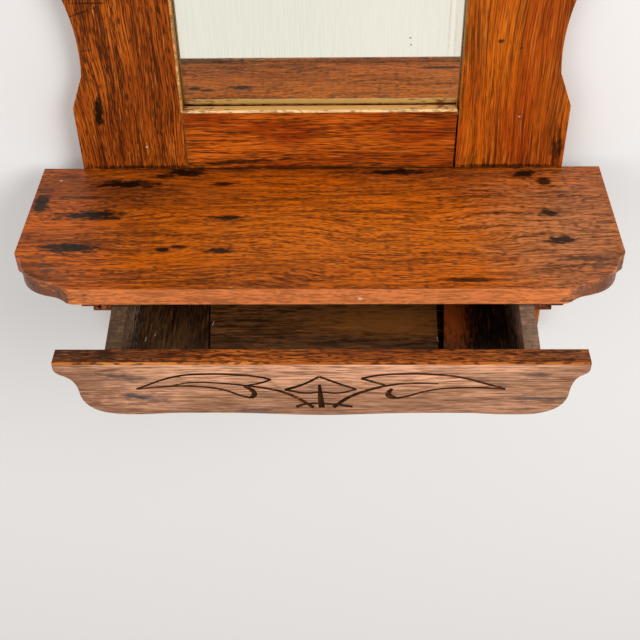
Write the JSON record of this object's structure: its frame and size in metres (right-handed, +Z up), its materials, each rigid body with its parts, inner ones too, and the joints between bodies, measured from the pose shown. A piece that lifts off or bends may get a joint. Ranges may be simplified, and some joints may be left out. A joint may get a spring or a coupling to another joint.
{
  "type": "wall mirror with shelf and drawer",
  "caption": "Hanging wall mirror in a scroll-sawn oak frame, with a shaped shelf and a hanging drawer that slides on runners beneath it.",
  "frame": {"origin": "on the wall plane at the back of the bottom rail, on the middle line, level with the shelf's top face", "axes": "+X to the viewer's right, +Y back into the wall, +Z up"},
  "size_m": [0.5104, 0.255, 0.735],
  "materials": {
    "frame_oak": "worn varnish over stained oak",
    "shelf_oak": "rubbed varnish with dark stains",
    "drawer_front_oak": "thin dry varnish",
    "drawer_box_wood": "bare, dusty",
    "runner_wood": "bare, rubbed",
    "backboard_wood": "rough sawn, unfinished",
    "mirror": "old silvered glass",
    "dull_steel": "dull"
  },
  "bodies": {
    "wall_frame": {"left_stile": "frame_oak", "right_stile": "frame_oak", "bottom_rail": "frame_oak", "crest_rail": "frame_oak", "mirror_glass": "mirror", "mirror_backboard": "backboard_wood", "hanger_plate_left": "dull_steel", "hanger_plate_right": "dull_steel", "shelf": "shelf_oak", "shelf_screw_1": "dull_steel", "shelf_screw_2": "dull_steel", "shelf_screw_3": "dull_steel", "shelf_screw_4": "dull_steel", "runner_block_left": "runner_wood", "runner_block_right": "runner_wood", "runner_lip_left": "runner_wood", "runner_lip_right": "runner_wood"},
    "drawer": {"drawer_front": "drawer_front_oak", "drawer_side_left": "drawer_box_wood", "drawer_side_right": "drawer_box_wood", "drawer_back": "drawer_box_wood", "drawer_flange_left": "drawer_box_wood", "drawer_flange_right": "drawer_box_wood", "drawer_floor_left": "drawer_box_wood", "drawer_floor_middle": "drawer_box_wood", "drawer_floor_right": "drawer_box_wood"}
  },
  "joints": [
    {"name": "drawer_slide", "type": "slide", "parent": "wall_frame", "child": "drawer", "axis": [0, -1, 0], "range_m": [-0.05, 0.055]}
  ]
}
